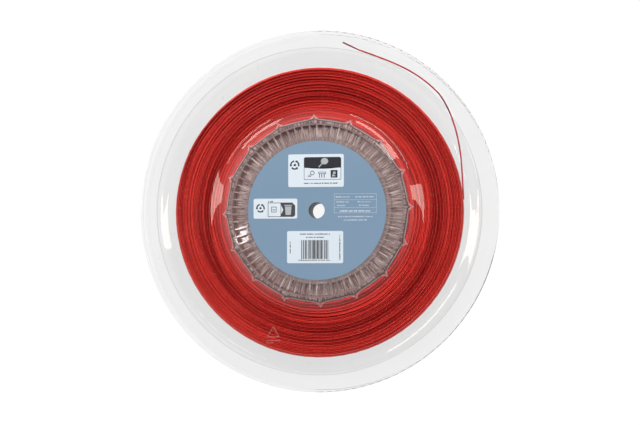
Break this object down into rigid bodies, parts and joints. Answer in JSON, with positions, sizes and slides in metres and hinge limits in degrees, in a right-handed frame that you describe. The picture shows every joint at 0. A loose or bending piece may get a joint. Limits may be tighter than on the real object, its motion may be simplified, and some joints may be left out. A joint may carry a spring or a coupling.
{
  "type": "racket string reel",
  "caption": "Clear two-flange plastic reel wound with racket string, with a paper label in the hub and a plain spindle bore through it.",
  "frame": {"origin": "on the spindle axis, in the plane of the rear hub rings that the reel stands on", "axes": "+Z along the spindle axis, out of the labelled front face; +Y towards the top sticker; +X towards the right as the label is read"},
  "size_m": [0.29, 0.29, 0.028],
  "materials": {
    "clear_plastic": "clear polystyrene, polished moulding",
    "smoky_plastic": "clear polystyrene with a grey-brown cast from the string behind it",
    "sleeve_plastic": "dark polypropylene tube",
    "label_paper": "blue-grey printed paper, satin",
    "sticker_paper": "white printed sticker, satin",
    "string": "red co-polyester monofilament, glossy"
  },
  "bodies": {
    "root": {"front_flange": "clear_plastic", "rear_flange": "clear_plastic", "winding_drum": "smoky_plastic", "front_cap": "clear_plastic", "rear_cap": "clear_plastic", "spindle_sleeve": "sleeve_plastic", "front_label": "label_paper", "rear_label": "label_paper", "top_sticker": "sticker_paper", "left_sticker": "sticker_paper", "bottom_sticker": "sticker_paper", "string_winding": "string", "string_tail": "string"}
  },
  "joints": []
}
